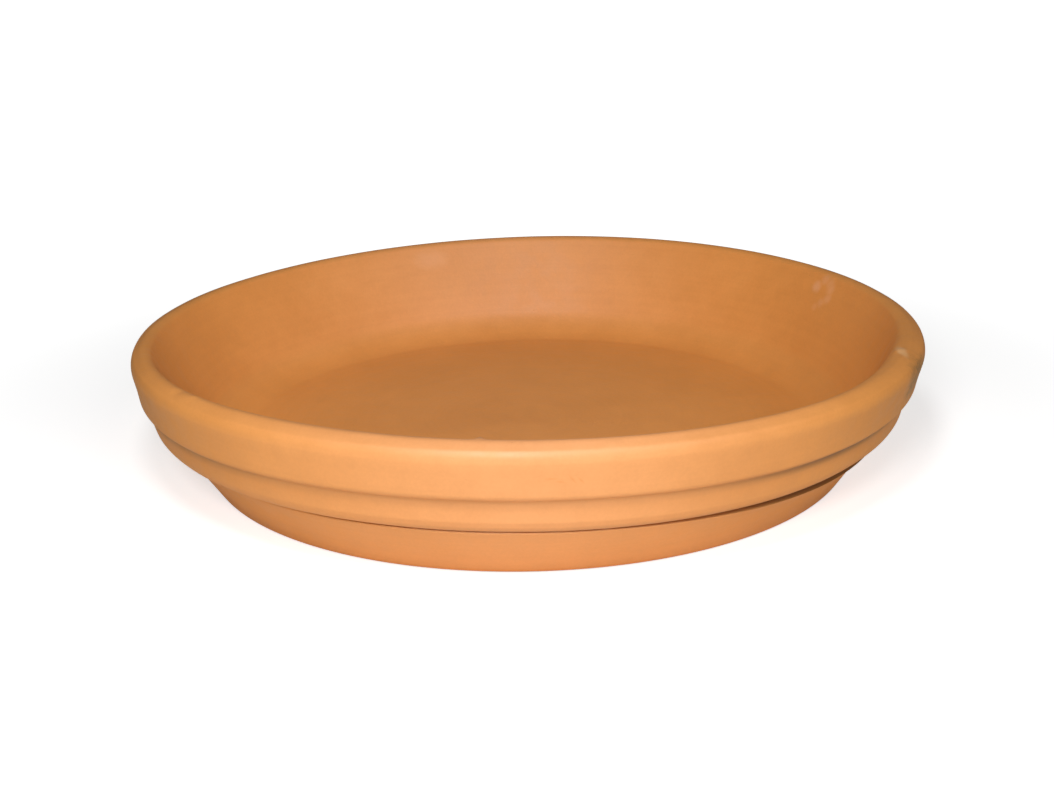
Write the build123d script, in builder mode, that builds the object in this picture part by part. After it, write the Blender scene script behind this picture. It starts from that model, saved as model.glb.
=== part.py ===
from build123d import *
from math import cos, radians, sin, tan
import os

# Plant saucer: a round tray of fired red clay that stands under a flower pot and catches its water.
# The real thing is one piece of clay, so the model is one solid turned about its centre line.
# All lengths are in millimetres. The origin is the middle of the face it stands on, +Z is up.

# Overall width, across the widest part of the rim
rim_diameter = 202.0

# Heights of the three stages of the outside wall, from the ground up
foot_height = 13.4
lower_band_height = 8.7
rim_band_height = 13.3

# Rim band: a plain face that leans out a little, with a rounded lower edge and a hollowed step under it
rim_band_lean = 12.0
rim_step_depth = 2.0
rim_step_rise = 1.1
rim_band_edge_radius = 1.9
rim_step_corner_radius = 2.4

# Lip: it rolls up from the inner wall, slopes down outwards across a narrow crest and turns over a
# tight edge into a wider shoulder
lip_shoulder_radius = 4.2
lip_edge_radius = 1.4
lip_break_angle = 26.0
lip_crest_width = 1.5
lip_crest_slope = 30.0
lip_inner_radius = 2.4

# Lower band: narrower, drawn in a little, with a full round lower edge that overhangs the foot
lower_band_taper = 1.3
undercut_depth = 4.4
undercut_rise = 1.2
lower_band_edge_radius = 3.8

# Foot: a plain wall that draws in to the face that the saucer stands on
foot_taper = 8.7
foot_edge_radius = 1.2

# Inside: a flat floor where the pot stands, a wide curve and a sloping wall
floor_thickness = 7.8
floor_curve_radius = 13.0
inner_wall_lean = 31.0

# Levels
total_height = foot_height + lower_band_height + rim_band_height
lower_band_top = foot_height + lower_band_height
rim_radius = rim_diameter / 2

# The lip, worked out from the shoulder inwards: centres of its three curves and ends of its crest
crest_turn = radians(90 - lip_crest_slope)
shoulder_reach = lip_shoulder_radius - lip_edge_radius
shoulder_x = rim_radius - lip_shoulder_radius
edge_x = shoulder_x + shoulder_reach * cos(radians(lip_break_angle))
crest_outer_x = edge_x + lip_edge_radius * cos(crest_turn)
crest_inner_x = crest_outer_x - lip_crest_width * sin(crest_turn)
inner_x = crest_inner_x - lip_inner_radius * cos(crest_turn)
inner_z = total_height - lip_inner_radius
crest_inner_z = inner_z + lip_inner_radius * sin(crest_turn)
crest_outer_z = crest_inner_z - lip_crest_width * cos(crest_turn)
edge_z = crest_outer_z - lip_edge_radius * sin(crest_turn)
shoulder_z = edge_z - shoulder_reach * sin(radians(lip_break_angle))

# Where the rim band's face leaves the shoulder, and its lower edge
face_top_x = shoulder_x + lip_shoulder_radius * cos(radians(rim_band_lean))
face_top_z = shoulder_z - lip_shoulder_radius * sin(radians(rim_band_lean))
face_foot_z = lower_band_top + rim_step_rise
face_foot_x = face_top_x - (face_top_z - face_foot_z) * tan(radians(rim_band_lean))

# Corners of the lower band and the foot
band_top_x = face_foot_x - rim_step_depth
band_foot_x = band_top_x - lower_band_taper
band_foot_z = foot_height + undercut_rise
foot_top_x = band_foot_x - undercut_depth
foot_x = foot_top_x - foot_taper

# Where the inner wall leaves the lip, and where its line meets the floor
wall_top_x = inner_x - lip_inner_radius * cos(radians(inner_wall_lean))
wall_top_z = inner_z + lip_inner_radius * sin(radians(inner_wall_lean))
wall_foot_x = wall_top_x - (wall_top_z - floor_thickness) * tan(radians(inner_wall_lean))

# Half of the cross-section: across the ground, up the outside, over the lip and back down the inside
with BuildPart() as saucer:
    with BuildSketch(Plane.XZ) as section:
        with BuildLine():
            Polyline(
                (0, 0),
                (foot_x, 0),
                (foot_top_x, foot_height),
                (band_foot_x, band_foot_z),
                (band_top_x, lower_band_top),
                (face_foot_x, face_foot_z),
                (face_top_x, face_top_z),
            )
            CenterArc(
                (shoulder_x, shoulder_z),
                lip_shoulder_radius,
                -rim_band_lean,
                rim_band_lean + lip_break_angle,
            )
            CenterArc(
                (edge_x, edge_z),
                lip_edge_radius,
                lip_break_angle,
                90 - lip_crest_slope - lip_break_angle,
            )
            Line((crest_outer_x, crest_outer_z), (crest_inner_x, crest_inner_z))
            CenterArc(
                (inner_x, inner_z),
                lip_inner_radius,
                90 - lip_crest_slope,
                90 + lip_crest_slope - inner_wall_lean,
            )
            Polyline(
                (wall_top_x, wall_top_z),
                (wall_foot_x, floor_thickness),
                (0, floor_thickness),
                (0, 0),
            )
        make_face()
        rounded_corners = (
            ((foot_x, 0), foot_edge_radius),
            ((band_foot_x, band_foot_z), lower_band_edge_radius),
            ((band_top_x, lower_band_top), rim_step_corner_radius),
            ((face_foot_x, face_foot_z), rim_band_edge_radius),
            ((wall_foot_x, floor_thickness), floor_curve_radius),
        )
        for corner, radius in rounded_corners:
            fillet(section.vertices().sort_by_distance(corner)[0], radius)
    revolve(axis=Axis.Z)

os.makedirs("parts", exist_ok=True)
saucer.part.label = "saucer"
export_step(saucer.part, "parts/saucer.step")
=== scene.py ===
# %% [markdown]
# A terracotta plant saucer
#
# The real thing is one piece of fired red clay: a tray that stands under a flower pot and catches the
# water that drains from it. It is pressed or turned, so almost everything about it is round, and what
# makes it look real is what the hand and the kiln do to that roundness.
#
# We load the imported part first. It gives the frame that everything here is placed in, in metres, with
# the saucer standing on z = 0 and its centre line on the Z axis.

# %% Load the part and keep its box
from math import atan2, cos, degrees, exp, hypot, pi, radians, sin, tan

import bmesh
import bpy
from mathutils import Matrix, Vector, noise


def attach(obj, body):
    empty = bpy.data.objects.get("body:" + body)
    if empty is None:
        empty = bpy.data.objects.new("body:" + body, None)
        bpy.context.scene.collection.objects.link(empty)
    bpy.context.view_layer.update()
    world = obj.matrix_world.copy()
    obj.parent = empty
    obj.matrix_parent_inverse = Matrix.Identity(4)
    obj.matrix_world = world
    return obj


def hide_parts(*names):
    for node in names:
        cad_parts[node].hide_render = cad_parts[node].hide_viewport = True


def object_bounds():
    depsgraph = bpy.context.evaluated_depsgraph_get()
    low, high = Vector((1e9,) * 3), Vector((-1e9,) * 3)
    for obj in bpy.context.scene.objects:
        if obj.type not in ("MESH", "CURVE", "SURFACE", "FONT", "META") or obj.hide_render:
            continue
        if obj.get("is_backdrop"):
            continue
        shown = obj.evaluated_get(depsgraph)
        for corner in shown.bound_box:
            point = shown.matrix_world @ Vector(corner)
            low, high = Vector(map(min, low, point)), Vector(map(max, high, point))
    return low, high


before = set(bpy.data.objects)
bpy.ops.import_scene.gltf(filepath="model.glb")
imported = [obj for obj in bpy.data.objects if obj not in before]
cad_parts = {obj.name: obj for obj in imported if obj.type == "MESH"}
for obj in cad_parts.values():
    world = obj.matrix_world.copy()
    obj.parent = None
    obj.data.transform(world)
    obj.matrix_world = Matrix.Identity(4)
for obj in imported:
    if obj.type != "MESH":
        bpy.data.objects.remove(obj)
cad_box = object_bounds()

mm = 0.001
rim_radius = cad_box[1][0]
rim_height = cad_box[1][2]
print(f"rim radius {rim_radius / mm:.1f} mm, rim height {rim_height / mm:.1f} mm")

# %% [markdown]
# The camera
#
# The photograph looks down into the saucer at about 18 degrees from 40 cm away. That is close, and it
# shows: the near rim is drawn much larger than the far one. A longer lens from further off could
# frame the same width, but the ellipse of the rim and the height of the wall wouldn't both fit, so
# the distance was chosen first and the lens after it. The camera was held a little crooked, too.

# %% Camera
camera_place = Vector((-0.35, -384.1, 137.61)) * mm
camera_down = radians(17.88)
camera_roll = radians(-1.3)
camera_lens = 52.05

camera = bpy.data.objects.new("camera", bpy.data.cameras.new("camera"))
bpy.context.scene.collection.objects.link(camera)
bpy.context.scene.camera = camera
camera.data.lens = camera_lens
tilt = Matrix.Rotation(radians(90) - camera_down, 4, "X")
camera.matrix_world = Matrix.Translation(camera_place) @ tilt @ Matrix.Rotation(camera_roll, 4, "Z")
print(f"camera {camera_place.length / mm:.0f} mm from the middle of the base, lens {camera_lens} mm")

# %% [markdown]
# The section
#
# A turned shape is half of its cross-section, spun about the centre line. We draw that half as a
# chain of edges in the XZ plane, the way a pen would: straight runs by extruding the last point, and
# round stretches by turning the last point about a centre. A curve with a Screw modifier would give
# the same skin. Here, though, each corner gets a radius of its own, and the points can be pushed
# about afterwards. The small corners are left sharp for now, because a vertex bevel rounds each of
# them in one step.
#
# How many points a curve gets follows from its length, so a tight lip and a wide floor curve look
# equally smooth. A few is enough where the curve is tiny, and a wide one never needs more than the
# most.

# %% A pen for the section
curve_step = 0.35 * mm
fewest_steps, most_steps = 5, 16
section = bmesh.new()
pen = section.verts.new((0, 0, 0))


def curve_steps(length):
    """How many straight steps draw a curve of that length."""
    return min(max(round(length / curve_step), fewest_steps), most_steps)


def line_to(x, z):
    """Draws a straight run from the pen to a point of the section, and returns the new point."""
    global pen
    pen = bmesh.ops.extrude_vert_indiv(section, verts=[pen])["verts"][0]
    pen.co = (x, 0, z)
    return pen


def arc(x, z, turn):
    """Turns the pen by some degrees about a centre in the section, from outside towards the crest."""
    global pen
    length = hypot(pen.co.x - x, pen.co.z - z) * radians(turn)
    turned = bmesh.ops.spin(
        section, geom=[pen], cent=(x, 0, z), axis=(0, -1, 0), angle=radians(turn),
        steps=curve_steps(length),
    )
    pen = turned["geom_last"][0]
    return pen


def round_corner(corner, radius):
    """Rounds a sharp corner of the section with an arc of that radius."""
    ways = [edge.other_vert(corner).co - corner.co for edge in corner.link_edges]
    turn = pi - ways[0].angle(ways[1])
    bmesh.ops.bevel(
        section, geom=[corner], offset=radius * tan(turn / 2), offset_type="OFFSET",
        segments=curve_steps(radius * turn), profile=0.5, affect="VERTICES", material=-1,
    )


print(f"a curve 1 mm long gets {curve_steps(1 * mm)} steps, one of 4 mm gets {curve_steps(4 * mm)}")

# %% [markdown]
# From the ground up, the outside is a foot that widens, a lower band that hangs a little over it, a
# small step, and the rim band. The lip is a wider curve outside, a tight one at the edge, a narrow
# crest that slopes outwards and a round one inside. The inner wall slopes down to a wide curve and the
# flat floor. Where the lower band meets the foot, the press leaves a fine slot. These are the section's
# only given sizes. The overall width and height come from the imported part.

# %% Sizes of the section
foot_height = 13.4 * mm
foot_taper = 8.7 * mm
foot_edge_radius = 1.2 * mm
slot_gap = 0.4 * mm
slot_depth = 1.0 * mm
lower_band_height = 8.7 * mm
lower_band_taper = 1.3 * mm
lower_band_edge_radius = 3.8 * mm
undercut_depth = 4.4 * mm
undercut_rise = 1.2 * mm
rim_step_depth = 2.0 * mm
rim_step_rise = 1.1 * mm
rim_step_corner_radius = 2.4 * mm
rim_band_lean = 12.0
rim_band_edge_radius = 1.9 * mm
lip_shoulder_radius = 4.2 * mm
lip_edge_radius = 1.4 * mm
lip_break_angle = 26.0
lip_crest_width = 1.5 * mm
lip_crest_slope = 30.0
lip_inner_radius = 2.4 * mm
inner_wall_lean = 31.0
floor_curve_radius = 13.0 * mm
floor_thickness = 7.8 * mm
rim_band_height = rim_height - foot_height - lower_band_height
print(f"foot {foot_height / mm:.1f} mm high, lower band {lower_band_height / mm:.1f} mm")
print(f"rim band with the lip {rim_band_height / mm:.1f} mm high")

# %% [markdown]
# The corners of the section follow from those sizes. It is easiest to begin at the widest place, the
# shoulder of the lip, and to work inwards over the crest first. After that we go down the outside,
# where each corner is a step in or out from the one above it.

# %% Corners worked out from the sizes
# The lip, from the shoulder inwards
crest_turn = radians(90 - lip_crest_slope)
shoulder_reach = lip_shoulder_radius - lip_edge_radius
shoulder_x = rim_radius - lip_shoulder_radius
edge_x = shoulder_x + shoulder_reach * cos(radians(lip_break_angle))
crest_outer_x = edge_x + lip_edge_radius * cos(crest_turn)
crest_inner_x = crest_outer_x - lip_crest_width * sin(crest_turn)
inner_x = crest_inner_x - lip_inner_radius * cos(crest_turn)
inner_z = rim_height - lip_inner_radius
crest_inner_z = inner_z + lip_inner_radius * sin(crest_turn)
crest_outer_z = crest_inner_z - lip_crest_width * cos(crest_turn)
edge_z = crest_outer_z - lip_edge_radius * sin(crest_turn)
shoulder_z = edge_z - shoulder_reach * sin(radians(lip_break_angle))

# The outside, from the rim band down to the foot
face_lean = tan(radians(rim_band_lean))
face_top_x = shoulder_x + lip_shoulder_radius * cos(radians(rim_band_lean))
face_top_z = shoulder_z - lip_shoulder_radius * sin(radians(rim_band_lean))
step_z = foot_height + lower_band_height
face_foot_z = step_z + rim_step_rise
face_foot_x = face_top_x - (face_top_z - face_foot_z) * face_lean
band_top_x = face_foot_x - rim_step_depth
band_foot_x = band_top_x - lower_band_taper
band_foot_z = foot_height + undercut_rise
foot_top_x = band_foot_x - undercut_depth
foot_x = foot_top_x - foot_taper

# The slot: the underside of the band runs on inwards over it, and the foot ends below it
slot_x = foot_top_x - slot_depth
slot_top_z = foot_height - slot_depth * undercut_rise / undercut_depth
slot_foot_z = foot_height - slot_gap
slot_mouth_x = foot_x + foot_taper * slot_foot_z / foot_height

# The inner wall
wall_top_x = inner_x - lip_inner_radius * cos(radians(inner_wall_lean))
wall_top_z = inner_z + lip_inner_radius * sin(radians(inner_wall_lean))
wall_foot_x = wall_top_x - (wall_top_z - floor_thickness) * tan(radians(inner_wall_lean))
print(f"foot {2 * foot_x / mm:.1f} mm across, wall top {(rim_radius - wall_top_x) / mm:.1f} mm thick")

# %% [markdown]
# Now the pen goes around: across the ground, up the outside, over the lip and back down the inside to
# the middle of the floor. The points that are still sharp corners are kept by name, and rounded last.

# %% Draw the section and round its corners
foot_edge = line_to(foot_x, 0)
line_to(slot_mouth_x, slot_foot_z)
line_to(slot_x, slot_foot_z)
line_to(slot_x, slot_top_z)
band_foot = line_to(band_foot_x, band_foot_z)
band_top = line_to(band_top_x, step_z)
face_foot = line_to(face_foot_x, face_foot_z)
line_to(face_top_x, face_top_z)
arc(shoulder_x, shoulder_z, rim_band_lean + lip_break_angle)
arc(edge_x, edge_z, 90 - lip_crest_slope - lip_break_angle)
line_to(crest_inner_x, crest_inner_z)
arc(inner_x, inner_z, 90 + lip_crest_slope - inner_wall_lean)
wall_foot = line_to(wall_foot_x, floor_thickness)
line_to(0, floor_thickness)

round_corner(foot_edge, foot_edge_radius)
round_corner(band_foot, lower_band_edge_radius)
round_corner(band_top, rim_step_corner_radius)
round_corner(face_foot, rim_band_edge_radius)
round_corner(wall_foot, floor_curve_radius)
print(f"section of {len(section.verts)} points")

# %% [markdown]
# The straight runs have no points of their own yet. The next steps push single points about, so the
# runs are divided: finely on the walls, where the marks are, and coarsely on the floor and the
# underside, where spinning packs the points together anyway.

# %% Divide the straight runs
wall_step = 0.9 * mm
flat_step = 6.0 * mm
level = 0.01 * mm
for edge in section.edges[:]:
    flat = abs(edge.verts[0].co.z - edge.verts[1].co.z) < level and edge.calc_length() > flat_step
    pieces = round(edge.calc_length() / (flat_step if flat else wall_step))
    if pieces > 1:
        bmesh.ops.subdivide_edges(section, edges=[edge], cuts=pieces - 1)
print(f"section of {len(section.verts)} points after dividing")

# %% [markdown]
# Spinning the chain gives the skin. Each step of a spin goes through the whole mesh again, so 480
# steps in one go are slow: it is quicker to spin one slice of the turn and then to repeat the slice.
# The slices are merged where they meet, and so are the points on the centre line.

# %% Spin it
slices = 16
slice_steps = 30
slice_angle = 2 * pi / slices
same_place = 0.001 * mm
bmesh.ops.spin(
    section, geom=section.verts[:] + section.edges[:], cent=(0, 0, 0), axis=(0, 0, 1),
    angle=slice_angle, steps=slice_steps,
)
one_slice = section.verts[:] + section.edges[:] + section.faces[:]
bmesh.ops.spin(
    section, geom=one_slice, cent=(0, 0, 0), axis=(0, 0, 1), angle=slice_angle * (slices - 1),
    steps=slices - 1, use_duplicate=True,
)
bmesh.ops.remove_doubles(section, verts=section.verts[:], dist=same_place)
bmesh.ops.recalc_face_normals(section, faces=section.faces[:])
print(f"skin of {len(section.faces)} faces, open edges {sum(not e.is_manifold for e in section.edges)}")

# %% [markdown]
# What the hand and the kiln do
#
# Several things keep this saucer from being a perfect turning. Towards the front the foot stands
# further out under the band. On the right the lip is thicker, and the bands draw in. On the left the
# step under the rim band is partly filled. The slot and the step also wander up and down a little.
#
# Sculpting would do for these, but it leaves bumps where nobody wants them. So each is a smooth push
# that grows and fades with the angle and with the height, and that can be changed by one number.
# Angles are counted from the right of the picture, and the front is at -90 degrees.

# %% Pushes and lifts
# Each one: its middle and spread in degrees, then in millimetres the heights where it starts, is
# full, begins to fade and ends, and how far it goes, outwards or upwards
outside_pushes = {
    "step partly filled, left": (-156, 21, 14.6, 19.5, 21.0, 22.5, 0.4),
    "lower band drawn in, right": (-36, 18, 12.0, 15.0, 21.0, 23.5, -0.45),
    "rim band drawn in, right": (-30, 16, 21.5, 24.5, 26.0, 32.0, -0.4),
    "rim drawn in, far left": (-174, 16, 24.0, 28.0, 34.0, 36.0, -0.3),
    "rim fuller, back left": (152, 24, 22.0, 30.0, 36.0, 37.0, 0.6),
    "rim fuller, back right": (34, 22, 22.0, 30.0, 36.0, 37.0, 0.55),
    "foot stands out, front": (-90, 50, 0.0, 0.4, 13.2, 14.6, 0.5),
}
inside_pushes = {
    "lip thicker, right": (-22, 18, 20.0, 33.0, 35.0, 36.0, -2.0),
    "lip thicker, front left": (-117, 22, 20.0, 33.0, 35.0, 36.0, -1.2),
}
lifts = {
    "slot higher, front left": (-101, 28, 5.0, 12.0, 14.5, 19.5, 0.5),
    "step lower, left": (-142, 20, 16.0, 21.0, 24.0, 28.0, -0.3),
    "step lower, right": (-62, 20, 16.0, 21.0, 24.0, 28.0, -0.22),
}


def ramp(value, start, end):
    """Rises smoothly from 0 at the start to 1 at the end."""
    share = min(max((value - start) / (end - start), 0), 1)
    return share * share * (3 - 2 * share)


def nearness(angle, middle, spread):
    """1 at an angle about the centre line, fading to nothing a few spreads away from it."""
    away = (angle - middle + 180) % 360 - 180
    return exp(-((away / spread) ** 2))


def pushed(pushes, angle, z):
    """The sum of the pushes at an angle and a height."""
    total = 0
    for middle, spread, start, full, fading, end, push in pushes.values():
        share = ramp(z, start * mm, full * mm) * (1 - ramp(z, fading * mm, end * mm))
        total += push * mm * share * nearness(angle, middle, spread)
    return total


for name, push in (outside_pushes | inside_pushes | lifts).items():
    print(f"{name}: {push[-1]} mm about {push[0]} degrees")

# %% [markdown]
# The slot has ways of its own. It is open in front and half closed around the back, and on the right
# it gapes, where the clay shrank away. The foot settles to leave that room: the nearer a point is to
# the slot, the further down it goes. In front the foot also swells outwards, most of all at its top,
# and the underside of the band above it follows.

# %% The slot under the lower band
# Two pairs of angles in degrees each. Over the first pair the slot opens, or begins to gape, and over
# the second it goes back
slot_open = (-165, -122), (5, 40)
slot_gapes = (-84, -36), (0, 30)
slot_closed_share = 0.5
gape_drop = 1.9 * mm
gape_depth = 3.0 * mm
settle_power = 6
foot_swell = 1.5 * mm
foot_swell_middle, foot_swell_spread = -93, 40


def between(angle, first, last):
    """1 between two angles. Each end fades over its own span of degrees."""
    return ramp(angle, *first) * (1 - ramp(angle, *last))


def slot_moved(angle, r, z):
    """Where a point of the foot or the slot goes: its new radius and height."""
    swell = foot_swell * nearness(angle, foot_swell_middle, foot_swell_spread)
    closed = 1 - between(angle, *slot_open)
    gape = between(angle, *slot_gapes)
    new_r, new_z = r, z
    if z < foot_height + level and r < foot_top_x + level:
        new_r += swell * (z / foot_height) ** 2
        if r < foot_top_x - slot_depth / 2 and z > slot_foot_z - level:
            new_r -= gape_depth * gape
    elif z < band_foot_z + undercut_rise:
        new_r += swell * max(band_foot_x - r, 0) / undercut_depth
    if z < slot_foot_z + level:
        drop = gape_drop * gape - slot_gap * closed * slot_closed_share
        new_z -= drop * (z / slot_foot_z) ** settle_power
    return new_r, new_z


print(f"slot {slot_gap / mm:.1f} mm wide in front, {(slot_gap + gape_drop) / mm:.1f} mm on the right")

# %% [markdown]
# Painted shade darkens the slot, the edge of the band just over it, and the step. A spot in the
# material would have to follow the slot up and down by itself. So each point of the mesh keeps a number
# for its shade, from 0 to 1, worked out before the point is pushed, and the material reads it later.

# %% Where shade is painted
# Each three: how much painted shade there is, and two pairs of angles in degrees, over which it comes
# and goes
slot_shade = 1.0, (-80, -42), (0, 30)
least_slot_shade = 0.12
slot_mouth_share = 0.5
band_edge_shade = 0.34, (-120, -98), (0, 30)
band_edge_shade_height = 1.8 * mm
step_shade = (
    (0.9, (-80, -42), (0, 30)),
    (0.45, (-178, -155), (-140, -112)),
    (0.2, (-135, -112), (-80, -60)),
)


def painted_shade_at(angle, r, z):
    """How much painted shade a point gets, in the slot, over it and in the step."""
    if slot_foot_z - level < z < foot_height and r < slot_mouth_x + level:
        most, first, last = slot_shade
        share = most * between(angle, first, last)
        at_mouth = r > slot_mouth_x - level
        return share * slot_mouth_share if at_mouth else max(share, least_slot_shade)
    if z < foot_height:
        return 0
    most, first, last = band_edge_shade
    over_slot = max(1 - (z - foot_height) / band_edge_shade_height, 0)
    in_step = max(1 - hypot(r - band_top_x, z - step_z) / rim_step_corner_radius, 0)
    total = most * between(angle, first, last) * over_slot
    for most, first, last in step_shade:
        total += most * between(angle, first, last) * in_step
    return total


for side, angle in (("right", -20), ("front", -90), ("left", -150), ("back", 90)):
    print(f"dirt in the step, {side}: {painted_shade_at(angle, band_top_x, step_z):.2f}")

# %% [markdown]
# The whole skin is also a little uneven, as any pressed clay is. A slow noise moves each point in
# by up to 0.16 mm. The eye reads that only in the way the light slides along the rim.
#
# With that, every point goes to its new place. A line up the middle of the wall tells the outside
# from the inside. The middle of the floor and of the underside stays as it was spun.

# %% Put every point in its place
unevenness = 0.08 * mm
unevenness_size = 16 * mm
still_x = foot_x / 2

crest_middle_x = (crest_inner_x + crest_outer_x) / 2
# Each point keeps a number for the shade painted on it
shade_layer = section.verts.layers.float.new("painted_shade")
for vert in section.verts:
    r, z = hypot(vert.co.x, vert.co.y), vert.co.z
    if r < still_x:
        continue
    angle = degrees(atan2(vert.co.y, vert.co.x))
    middle_of_wall = wall_foot_x + (crest_middle_x - wall_foot_x) * z / rim_height
    new_r, new_z = r, z
    if z > 0 and r > middle_of_wall:
        new_r, new_z = slot_moved(angle, r, z)
        new_r += pushed(outside_pushes, angle, z)
        new_z += pushed(lifts, angle, z)
        vert[shade_layer] = painted_shade_at(angle, r, z)
    elif z > 0:
        share = min((crest_middle_x - r) / (crest_middle_x - wall_top_x), 1)
        new_r += pushed(inside_pushes, angle, z) * share
    new_r += unevenness * (noise.noise(vert.co / unevenness_size) - 1) * ramp(z, 0, floor_thickness)
    vert.co = (vert.co.x * new_r / r, vert.co.y * new_r / r, new_z)
shaded_points = sum(vert[shade_layer] > 0 for vert in section.verts)
print(f"{len(section.verts)} points in place, {shaded_points} of them with dirt")

# %% [markdown]
# Clay also moves in the kiln as a whole. The rim of this saucer rises and falls a little more than a
# millimetre, twice around, while the foot stays flat on the shelf. So every point is moved in
# proportion to its height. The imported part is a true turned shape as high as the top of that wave, so
# the wave only ever lowers a point.

# %% Rim wave
rim_wave = 0.78 * mm
rim_wave_high_side = radians(69.8)


def wave_at(angle):
    """How far the rim is lowered at an angle about the centre line."""
    return rim_wave * (cos(2 * (angle - rim_wave_high_side)) - 1)


for vert in section.verts:
    vert.co.z *= 1 + wave_at(atan2(vert.co.y, vert.co.x)) / rim_height
print(f"rim from {(rim_height - 2 * rim_wave) / mm:.1f} to {rim_height / mm:.1f} mm high")

# %% [markdown]
# Small marks in the clay
#
# A few crumbs of clay stuck to the lip before firing, there is a nick, and two burrs hang under the
# lower band. Each is a soft lump or dent about the nearest point of the skin to a given place.
# Pushing along the skin's own direction there makes it work on the lip's curve as well as on a flat
# wall. Small balls joined to the skin would need a boolean, and would show a seam.

# %% Crumbs and nicks
# Each one: its angle in degrees, then in millimetres its radius and height, its reach, and how far
# it stands out
crumbs = {
    "crumb on the inner edge, front": (-95.9, 95.8, 35.0, 0.9, 0.6),
    "crumb on the shoulder, front right": (-79.9, 99.4, 34.3, 0.8, 0.35),
    "crumb on the crest, left": (-139.8, 97.1, 34.9, 1.1, 0.25),
    "nick in the crest, left": (-143.4, 97.8, 34.7, 1.5, -0.3),
    "burr under the band, front": (-86.0, 91.0, 12.9, 1.2, 0.12),
    "burr under the band, right of it": (-80.5, 91.0, 12.9, 1.4, 0.1),
    "dab on the rim, right": (-21.9, 95.8, 33.9, 1.5, 0.45),
}
# Past this many reaches nothing of a mark is left
reaches_to_end = 3


def place(angle, r, z):
    """The point at an angle in degrees, a radius and a height in millimetres."""
    return Vector((r * cos(radians(angle)), r * sin(radians(angle)), z)) * mm


section.normal_update()
for name, (angle, r, z, reach, height) in crumbs.items():
    target = place(angle, r, z)
    middle = min(section.verts, key=lambda vert: (vert.co - target).length_squared).co.copy()
    reach = reach * mm
    near = [vert for vert in section.verts if (vert.co - middle).length < reaches_to_end * reach]
    shares = [exp(-((vert.co - middle).length / reach) ** 2) for vert in near]
    pushes = [vert.normal * height * mm * share for vert, share in zip(near, shares)]
    for vert, push in zip(near, pushes):
        vert.co += push
        vert.co.z = min(vert.co.z, rim_height)
    print(f"{name}: {len(near)} points moved")

# %% [markdown]
# The drawn mesh becomes an object now. It rides on the part's root and takes the place of the plain
# packed saucer, so the visual and the part share one frame.

# %% The saucer as an object
mesh = bpy.data.meshes.new("saucer_clay")
section.to_mesh(mesh)
section.free()
mesh.shade_smooth()
saucer = bpy.data.objects.new("saucer_clay", mesh)
bpy.context.scene.collection.objects.link(saucer)
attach(saucer, "root")
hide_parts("saucer")
print(f"{saucer.name}: {sum(len(face.vertices) - 2 for face in mesh.polygons)} triangles")

# %% [markdown]
# Fired clay
#
# Unglazed terracotta is matte but not chalky: the light of a near lamp still leaves a soft pale band
# on the lip. Its colour changes slowly over centimetres, where the flame reached it more or less, and
# again in a fine mottle of a few millimetres. We build the colour from the slow change to the fine
# one, and every pattern is laid out in the saucer's own coordinates, in metres, so a scale of 100
# gives patches of about a centimetre.
#
# A node tree is long to write out, so small helpers do it. The first links what goes in. Each of the
# others makes one kind of node and gives back what comes out.

# %% Helpers for materials
clay = bpy.data.materials.new("fired_clay")
clay.use_nodes = True
mesh.materials.append(clay)
nodes, links = clay.node_tree.nodes, clay.node_tree.links
surface = nodes["Principled BSDF"]
where = nodes.new("ShaderNodeTexCoord").outputs["Object"]

# A Mix node has sockets for every kind of data. These are the numbers of the ones for colour
mix_share, mix_under, mix_over, mix_result = 0, 6, 7, 2


def wire(source, socket):
    """Links an output to an input, or sets the input when the source is a plain value."""
    if isinstance(source, bpy.types.NodeSocket):
        links.new(source, socket)
    else:
        socket.default_value = source


def speckle(size, detail=2.0, coarseness=0.5, at=where):
    """A noise whose patches are about that size, as a value around one half."""
    node = nodes.new("ShaderNodeTexNoise")
    wire(at, node.inputs["Vector"])
    node.inputs["Scale"].default_value = 1 / size
    node.inputs["Detail"].default_value = detail
    node.inputs["Roughness"].default_value = coarseness
    return node.outputs["Fac"]


def stretch(value, start, end, low=0.0, high=1.0):
    """Maps start to end onto low to high, smoothly and without running over."""
    node = nodes.new("ShaderNodeMapRange")
    node.interpolation_type = "SMOOTHSTEP"
    wire(value, node.inputs["Value"])
    for name, number in zip(("From Min", "From Max", "To Min", "To Max"), (start, end, low, high)):
        node.inputs[name].default_value = number
    return node.outputs["Result"]


def maths(operation, a, b):
    """One sum of two values."""
    node = nodes.new("ShaderNodeMath")
    node.operation = operation
    wire(a, node.inputs[0])
    wire(b, node.inputs[1])
    return node.outputs["Value"]


def blend(share, under, over, kind="MIX"):
    """Lays one colour over another where the share is high."""
    node = nodes.new("ShaderNodeMix")
    node.data_type = "RGBA"
    node.blend_type = kind
    wire(share, node.inputs[mix_share])
    wire(under, node.inputs[mix_under])
    wire(over, node.inputs[mix_over])
    return node.outputs[mix_result]


print(f"{clay.name} starts with {len(nodes)} nodes")
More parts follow.
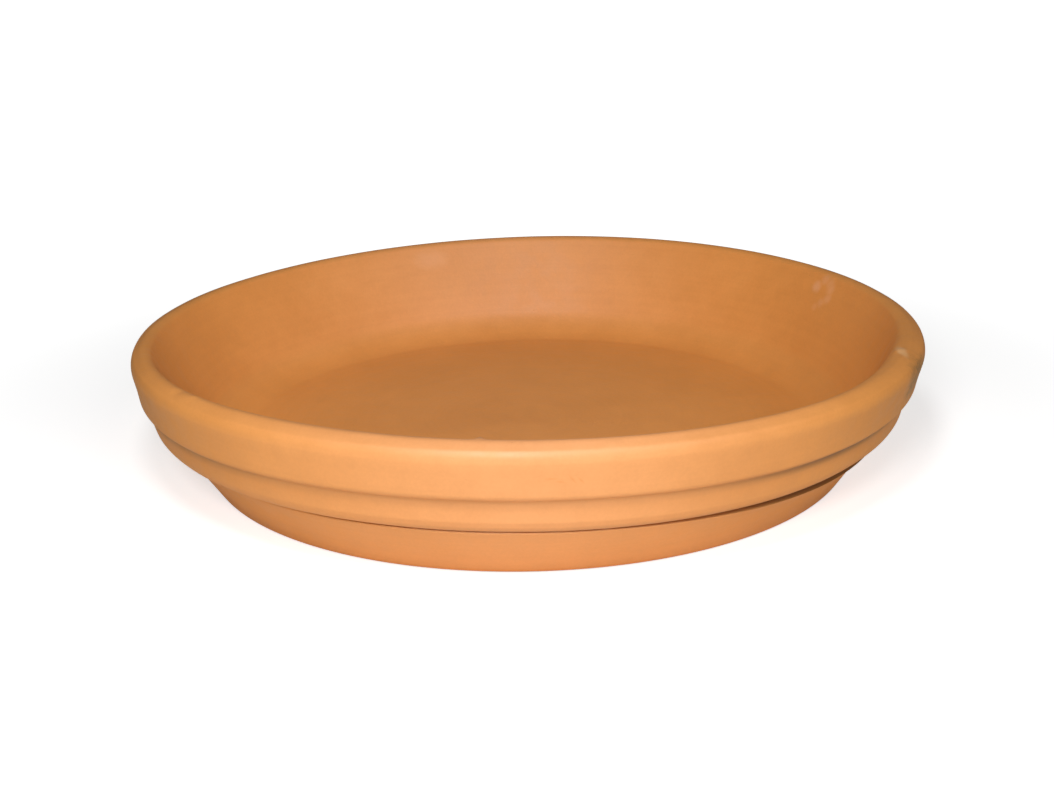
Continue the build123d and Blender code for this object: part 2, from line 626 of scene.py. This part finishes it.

# %% [markdown]
# Some finishes belong to one place only, such as a dab or a scratch. A spherical gradient that is
# squeezed, turned and moved there gives a soft spot of any size. Its edge is too clean for a stain,
# so a noise can first shift the place that it reads, and the edge frays. A painted picture would need
# the whole skin laid out flat, for marks of a few millimetres.
#
# The first spot is a large one, for painted sheen: a broad pale stripe from the front to the back,
# where the lamps beside the camera whiten the clay most. So that spot is far longer than the saucer.

# %% Spots, and the painted sheen stripe as the first one
def frayed(at, middle, fray, fray_size):
    """A place shifted by a noise, up to fray in each direction, and the middle moved to suit it."""
    node = nodes.new("ShaderNodeVectorMath")
    node.operation = "MULTIPLY_ADD"
    cloud = nodes.new("ShaderNodeTexNoise")
    wire(at, cloud.inputs["Vector"])
    cloud.inputs["Scale"].default_value = 1 / fray_size
    wire(cloud.outputs["Color"], node.inputs[0])
    node.inputs[1].default_value = (fray, fray, fray)
    wire(at, node.inputs[2])
    return node.outputs["Vector"], middle + Vector((fray, fray, fray)) / 2


def spot(middle, sizes, turn=0.0, slant=0.0, fray=0.0, fray_size=2 * mm):
    """A soft spot of the clay: 1 at a place, falling to 0 at the given distances along its sides."""
    at = where
    if fray:
        at, middle = frayed(at, middle, fray, fray_size)
    frame_of_spot = nodes.new("ShaderNodeMapping")
    frame_of_spot.vector_type = "TEXTURE"
    wire(at, frame_of_spot.inputs["Vector"])
    frame_of_spot.inputs["Location"].default_value = middle
    frame_of_spot.inputs["Rotation"].default_value = (0, radians(slant), radians(turn))
    frame_of_spot.inputs["Scale"].default_value = sizes
    ball = nodes.new("ShaderNodeTexGradient")
    ball.gradient_type = "SPHERICAL"
    wire(frame_of_spot.outputs["Vector"], ball.inputs["Vector"])
    return ball.outputs["Fac"]


# Painted sheen: the stripe is palest where the lamps beside the camera whiten the clay most
stripe_middle = Vector((-8 * mm, 0, 0))
stripe_half_width = 92 * mm
stripe_turn = 4
right_across = 10
stripe = spot(stripe_middle, (stripe_half_width, right_across, right_across), stripe_turn)
print(f"pale stripe {2 * stripe_half_width / mm:.0f} mm wide, turned by {stripe_turn} degrees")

# %% [markdown]
# Beside the stripe the clay has its own deeper tone. The painted sheen is weaker low down, most of all
# on the floor, and it fades towards the back. The floor is also made a little brighter and redder. To
# tell the floor from the rest, the material measures each point's height and its distance from the
# centre line: what is low and not far out is the floor.

# %% Deep clay and clay with painted sheen
# The first colour is the clay's own, the second is the same clay paled by painted sheen
deep_clay = (0.845, 0.338, 0.076, 1)
sheen_clay = (0.845, 0.370, 0.140, 1)
floor_shade = (1.06, 1.03, 1.0, 1)
floor_level, floor_shade_end, full_sheen_z = 8 * mm, 12 * mm, 15 * mm
far_out_start, far_out_end = 80 * mm, 84 * mm
far_back = 80 * mm
floor_sheen, outside_sheen, back_sheen = 0.3, 0.8, 0.6

split = nodes.new("ShaderNodeSeparateXYZ")
wire(where, split.inputs["Vector"])
height = split.outputs["Z"]
flat_place = nodes.new("ShaderNodeCombineXYZ")
wire(split.outputs["X"], flat_place.inputs["X"])
wire(split.outputs["Y"], flat_place.inputs["Y"])
away = nodes.new("ShaderNodeVectorMath")
away.operation = "LENGTH"
wire(flat_place.outputs["Vector"], away.inputs[0])
radius_of_point = away.outputs["Value"]

# Painted sheen is held back low down, most on the floor, and fades towards the back
above_floor = stretch(height, floor_level, full_sheen_z, floor_sheen, 1)
far_out = stretch(radius_of_point, far_out_start, far_out_end)
towards_back = stretch(split.outputs["Y"], 0, far_back, 1, back_sheen)
held_back = maths("MAXIMUM", above_floor, maths("MULTIPLY", far_out, outside_sheen))
sheen_share = maths("MULTIPLY", stretch(stripe, 0, 1), maths("MULTIPLY", held_back, towards_back))
tone = blend(sheen_share, deep_clay, sheen_clay)

low_down = stretch(height, floor_level, floor_shade_end, 1, 0)
on_floor = maths("MULTIPLY", low_down, maths("SUBTRACT", 1, far_out))
tone = blend(on_floor, tone, floor_shade, "MULTIPLY")
print(f"two tones of clay, {len(nodes)} nodes so far")

# %% [markdown]
# Over those tones lie four patterns, from slow to fine: clouds where the flame went, a mottle, the
# faint rings of the turning, and the grain. The rings come from a noise that is read along the radius
# and the height only, so it can't change around the saucer. Each pattern darkens and lightens the
# tone a little, so one loop lays them all on. The bump and the gloss use some of them again.

# %% Clouds, mottle, rings and grain
patch_dark = (0.955, 0.945, 0.92, 1)
patch_light = (1.045, 1.06, 1.09, 1)
ring_place = nodes.new("ShaderNodeCombineXYZ")
wire(radius_of_point, ring_place.inputs["X"])
wire(height, ring_place.inputs["Z"])

# Each one: the size of its patches, its detail and coarseness, where it is read, the values that
# count as dark and as light, and how much of it shows
patterns = {
    "clouds": (28 * mm, 3, 0.55, where, 0.32, 0.68, 0.55),
    "mottle": (5 * mm, 4, 0.6, where, 0.3, 0.7, 0.35),
    "rings": (1.6 * mm, 3, 0.6, ring_place.outputs["Vector"], 0.35, 0.65, 0.2),
    "grain": (0.7 * mm, 2, 0.55, where, 0.3, 0.7, 0.3),
}
speckles, contrasts = {}, {}
for name, (size, detail, coarseness, at, dark, light, share) in patterns.items():
    speckles[name] = speckle(size, detail, coarseness, at)
    contrasts[name] = stretch(speckles[name], dark, light)
    tone = blend(share, tone, blend(contrasts[name], patch_dark, patch_light), "MULTIPLY")
    print(f"{name}: patches of {size / mm:.1f} mm")

# %% [markdown]
# Use and age
#
# Water that stands in a saucer carries lime out through the clay, which dries to a pale bloom. There
# is one on the inner wall at the right, a ring with a thin tail where a drop ran down. It is made of
# ragged spots that overlap and run together, and at each point the palest of them counts.

# %% Lime bloom
lime = (0.95, 0.50, 0.27, 1)
bloom_fray = 1.2 * mm
bloom_edge, bloom_full = 0.1, 0.8

# Each spot: its angle in degrees, radius, height and size in millimetres, and how pale it is
bloom_spots = (
    (26.6, 93.5, 30.5, 2.8, 0.46),
    (25.2, 95.0, 32.8, 2.7, 0.3),
    (23.5, 94.6, 32.3, 2.4, 0.26),
    (22.7, 93.8, 30.9, 2.8, 0.3),
    (22.3, 92.3, 28.6, 2.5, 0.3),
    (23.4, 91.4, 27.1, 2.2, 0.26),
    (24.5, 90.6, 25.7, 1.8, 0.2),
)
bloom = 0.0
for angle, r, z, size, palest in bloom_spots:
    patch = spot(place(angle, r, z), (size * mm, size * mm, size * mm), fray=bloom_fray)
    bloom = maths("MAXIMUM", stretch(patch, bloom_edge, bloom_full, 0, palest), bloom)
tone = blend(bloom, tone, lime)
print(f"bloom of {len(bloom_spots)} spots")

# %% [markdown]
# There is a paler dab on the rim in front of the bloom. The outside of the lip next to that gets
# painted shade, where it turns away from the near lamps: a thin even olive film with a fine pattern
# over it. On the far wall is one more patch of lime, so faint that it hardly shows.

# %% Dab, faint patch and painted shade on the lip
chalk = (0.95, 0.58, 0.28, 1)
limb_shade_olive = (0.25, 0.14, 0.045, 1)
limb_shade_size = 1.6 * mm
limb_shade_none, limb_shade_full = 0.42, 0.58
limb_shade_share = 0.5

# Each smear: the angle, radius and height of its middle, its half sizes along X, Y and Z, its turn,
# how far its edge frays and how large the frays are, where its edge begins and where it is full, how
# much of it shows, and its colour. Lengths are in millimetres, and angles in degrees
smears = {
    "dab": ((-21.9, 96.0, 33.9), (1.8, 7.5, 2.8), 0, 0.9, 2, 0.1, 0.7, 0.5, chalk),
    "faint patch": ((108.7, 93.8, 30.4), (8, 6, 4), 0, 3, 2, 0.0, 0.8, 0.25, lime),
    # Painted shade: olive on the outside of the lip at the right, away from the near lamps
    "painted shade on the lip": ((-24.0, 101, 28.8), (7, 14, 7.5), -24, 2.5, 3, 0.1, 0.7, 0.4, limb_shade_olive),
}
smeared = {}
for name, (middle, sizes, turn, fray, fray_size, edge, full, share, colour) in smears.items():
    sizes = [size * mm for size in sizes]
    soft = spot(place(*middle), sizes, turn, fray=fray * mm, fray_size=fray_size * mm)
    smeared[name] = stretch(soft, edge, full)
    tone = blend(maths("MULTIPLY", smeared[name], share), tone, colour)
    print(f"{name}: {share:.0%} of its colour")

# A fine pattern of more painted shade over the same place
limb_shade_pattern = stretch(speckle(limb_shade_size, detail=4, coarseness=0.65), limb_shade_none, limb_shade_full)
limb_shade_mottled = maths("MULTIPLY", smeared["painted shade on the lip"], limb_shade_pattern)
tone = blend(maths("MULTIPLY", limb_shade_mottled, limb_shade_share), tone, limb_shade_olive)

# %% [markdown]
# A few short scratches cross the rim band in front, and show the deeper orange under the skin. The
# lowest millimetre of the foot, which stood on the damp shelf, has that colour too. Over them goes the
# painted shade of the step and the slot, from the number that each point keeps.

# %% Scratches, painted shade and damp foot
# The colour of the shade painted in the slot and the step
painted_shade = (0.12, 0.055, 0.018, 1)
damp_clay = (0.80, 0.28, 0.06, 1)
damp_full, damp_end = 0.5 * mm, 1.6 * mm
damp_share = 0.7

# Each scratch: its angle in degrees, height and half length in millimetres, and slant in degrees
scratches = (
    (-87.6, 28.0, 1.9, 0),
    (-85.2, 27.7, 1.5, 52),
    (-84.2, 27.3, 1.3, 48),
    (-86.6, 27.2, 1.2, 8),
)
scratched_radius = 100.1
scratch_half_depth, scratch_half_width = 2 * mm, 0.3 * mm
scratch_share = 0.5
for angle, z, half_length, slant in scratches:
    sizes = (half_length * mm, scratch_half_depth, scratch_half_width)
    scratch = spot(place(angle, scratched_radius, z), sizes, angle + 90, slant)
    tone = blend(maths("MULTIPLY", scratch, scratch_share), tone, damp_clay)

# Painted shade: each point's number darkens the slot, the band's edge over it and the step
shade_reader = nodes.new("ShaderNodeAttribute")
shade_reader.attribute_name = "painted_shade"
tone = blend(shade_reader.outputs["Fac"], tone, painted_shade)

damp = stretch(height, damp_full, damp_end, damp_share, 0)
tone = blend(damp, tone, damp_clay)
wire(tone, surface.inputs["Base Color"])
print(f"{len(scratches)} scratches, colour done with {len(nodes)} nodes")

# %% [markdown]
# How rough it is
#
# The finest grain is too small to model as points, so it goes into the bump: sand grains under a
# tenth of a millimetre high, the turning rings, and a scatter of pinholes where air was trapped or
# straw burned out. The bump's distance is in metres too, so a height of 0.03 mm is really that.

# %% Grain, rings and pinholes in the bump
pinhole_spacing = 3.2 * mm
pinhole_bottom, pinhole_edge = 0.05, 0.11
pinhole_field = 9 * mm
field_edge, field_full = 0.5, 0.62
sand_size = 2.5 * mm
bump_height = 0.03 * mm
grain_share, ring_share, sand_share, pinhole_share = 0.5, 0.35, 1.2, 1.5

pinholes = nodes.new("ShaderNodeTexVoronoi")
wire(where, pinholes.inputs["Vector"])
pinholes.inputs["Scale"].default_value = 1 / pinhole_spacing
pinhole_depth = stretch(pinholes.outputs["Distance"], pinhole_bottom, pinhole_edge, -1, 0)
sparse = maths("MULTIPLY", stretch(speckle(pinhole_field), field_edge, field_full), pinhole_share)
grainy = maths("MULTIPLY", speckles["grain"], grain_share)
skin = maths("ADD", grainy, maths("MULTIPLY", speckles["rings"], ring_share))
skin = maths("ADD", skin, maths("MULTIPLY", speckle(sand_size, detail=3), sand_share))
skin = maths("ADD", skin, maths("MULTIPLY", pinhole_depth, sparse))

bump = nodes.new("ShaderNodeBump")
bump.inputs["Strength"].default_value = 1
bump.inputs["Distance"].default_value = bump_height
wire(skin, bump.inputs["Height"])
wire(bump.outputs["Normal"], surface.inputs["Normal"])
print(f"bump of {bump_height / mm} mm, a pinhole at most every {pinhole_spacing / mm} mm or so")

# %% [markdown]
# The gloss varies with the mottle, and the bloom takes it away. What is the same all over the clay,
# such as its index of refraction, is set on the shader itself.

# %% Gloss
smoothest, roughest = 0.46, 0.56
bloom_roughness = 0.5
clay_ior = 1.45
clay_shine = 0.65
gloss = stretch(contrasts["mottle"], 0, 1, smoothest, roughest)
gloss = maths("ADD", gloss, maths("MULTIPLY", bloom, bloom_roughness))
wire(gloss, surface.inputs["Roughness"])
surface.inputs["IOR"].default_value = clay_ior
surface.inputs["Specular IOR Level"].default_value = clay_shine
print(f"fired clay of {len(nodes)} nodes")

# %% [markdown]
# The floor
#
# The photograph has a plain white ground. A sheet of matte white paper keeps the soft shadow that
# the saucer stands in. It lies a hair lower than the foot, so that two faces never share one plane.

# %% A sheet of paper
paper_half_width = 6.0
paper_drop = 0.05 * mm
floor_mesh = bpy.data.meshes.new("floor")
sheet = bmesh.new()
bmesh.ops.create_grid(sheet, x_segments=1, y_segments=1, size=paper_half_width)
sheet.to_mesh(floor_mesh)
sheet.free()
floor_mesh.transform(Matrix.Translation((0, 0, -paper_drop)))
floor = bpy.data.objects.new("floor", floor_mesh)
bpy.context.scene.collection.objects.link(floor)
floor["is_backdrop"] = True
print(f"paper {2 * paper_half_width:.0f} m wide, {paper_drop / mm} mm under the foot")

# %% [markdown]
# Away from the saucer the sheet glows for the camera only, more and more, until it is plain white and
# runs into the backdrop without a line. The light that the sheet throws back up is a little creamy,
# or the sides of the saucer, which see mostly paper, would go pink.
#
# The helpers write into whatever nodes, links and where stand for, so those are set to the paper's
# own first.

# %% White paper
paper_seen = (0.8, 0.8, 0.8, 1)
paper_bounced = (0.82, 0.79, 0.66, 1)
glow_near, glow_far = 0.62, 1.0
glow_start, glow_end = 0.13, 0.32

paper = bpy.data.materials.new("white_paper")
paper.use_nodes = True
floor_mesh.materials.append(paper)
nodes, links = paper.node_tree.nodes, paper.node_tree.links
nodes.clear()
where = nodes.new("ShaderNodeTexCoord").outputs["Object"]
output = nodes.new("ShaderNodeOutputMaterial")
matte = nodes.new("ShaderNodeBsdfDiffuse")
matte.inputs["Color"].default_value = paper_seen
creamy = nodes.new("ShaderNodeBsdfDiffuse")
creamy.inputs["Color"].default_value = paper_bounced
away = nodes.new("ShaderNodeVectorMath")
away.operation = "LENGTH"
wire(where, away.inputs[0])
glow = nodes.new("ShaderNodeEmission")
wire(stretch(away.outputs["Value"], glow_start, glow_end, glow_near, glow_far), glow.inputs["Strength"])
both = nodes.new("ShaderNodeAddShader")
seen = nodes.new("ShaderNodeLightPath")
pick = nodes.new("ShaderNodeMixShader")
wire(matte.outputs[0], both.inputs[0])
wire(glow.outputs[0], both.inputs[1])
wire(seen.outputs["Is Camera Ray"], pick.inputs[0])
wire(creamy.outputs[0], pick.inputs[1])
wire(both.outputs[0], pick.inputs[2])
wire(pick.outputs[0], output.inputs["Surface"])
print(f"the glow begins {glow_start / mm:.0f} mm away and is full at {glow_end / mm:.0f} mm")

# %% [markdown]
# The light
#
# The photograph was taken close up, and its light comes from beside the lens: the front is brightest
# in the middle and both sides fall off into brown. Two small lamps near the camera, one a little
# above the other, give that fall-off and the pale band on the lip, which is wider than one lamp would
# make it. A wide soft lamp from the right fills the far wall.

# %% Lamps
aim = Vector((0, 0, 20 * mm))


def lamp(name, azimuth, elevation, distance, size, watts):
    """A round soft lamp. Azimuth 0 is the camera's side, and grows to the right."""
    data = bpy.data.lights.new(name, "AREA")
    data.shape = "DISK"
    data.size = size
    data.energy = watts
    lamp_object = bpy.data.objects.new(name, data)
    bpy.context.scene.collection.objects.link(lamp_object)
    a, e = radians(azimuth), radians(elevation)
    way = Vector((sin(a) * cos(e), -cos(a) * cos(e), sin(e)))
    lamp_object.location = aim + way * distance
    lamp_object.rotation_euler = way.to_track_quat("Z", "Y").to_euler()
    print(f"{name}: {watts} W from {distance} m away")


lamp("near_lamp", azimuth=-7, elevation=25, distance=0.42, size=0.08, watts=0.68)
lamp("near_lamp_above", azimuth=-7, elevation=48, distance=0.42, size=0.08, watts=0.48)
lamp("side_lamp", azimuth=30, elevation=30, distance=1.2, size=0.5, watts=2.7)

# %% [markdown]
# A dim white room lifts the shadows. The camera sees it at full strength instead, as the plain white
# backdrop, and Light Path tells the two apart.

# %% Room and backdrop
room_strength = 0.107
white = (1, 1, 1, 1)

world = bpy.data.worlds.new("room")
bpy.context.scene.world = world
world.use_nodes = True
nodes, links = world.node_tree.nodes, world.node_tree.links
air = nodes["Background"]
air.inputs["Color"].default_value = white
air.inputs["Strength"].default_value = room_strength
backdrop = nodes.new("ShaderNodeBackground")
backdrop.inputs["Color"].default_value = white
seen = nodes.new("ShaderNodeLightPath")
pick = nodes.new("ShaderNodeMixShader")
wire(seen.outputs["Is Camera Ray"], pick.inputs[0])
wire(air.outputs[0], pick.inputs[1])
wire(backdrop.outputs[0], pick.inputs[2])
wire(pick.outputs[0], nodes["World Output"].inputs["Surface"])

bpy.context.scene.view_settings.view_transform = "Standard"
print(f"room at {room_strength} of full white")

# %% [markdown]
# Last, the box of everything on show is printed beside the box of the imported part. At the four sides
# and on top, the pushes, the noise and the wave together take a little away, so the visual's box stays
# inside the part's.

# %% Sizes, for comparison, and finish
for side, part_end, seen_end in zip("XYZ", cad_box[1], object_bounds()[1]):
    print(f"{side}: the part ends at {part_end / mm:.2f} mm, what is shown at {seen_end / mm:.2f} mm")
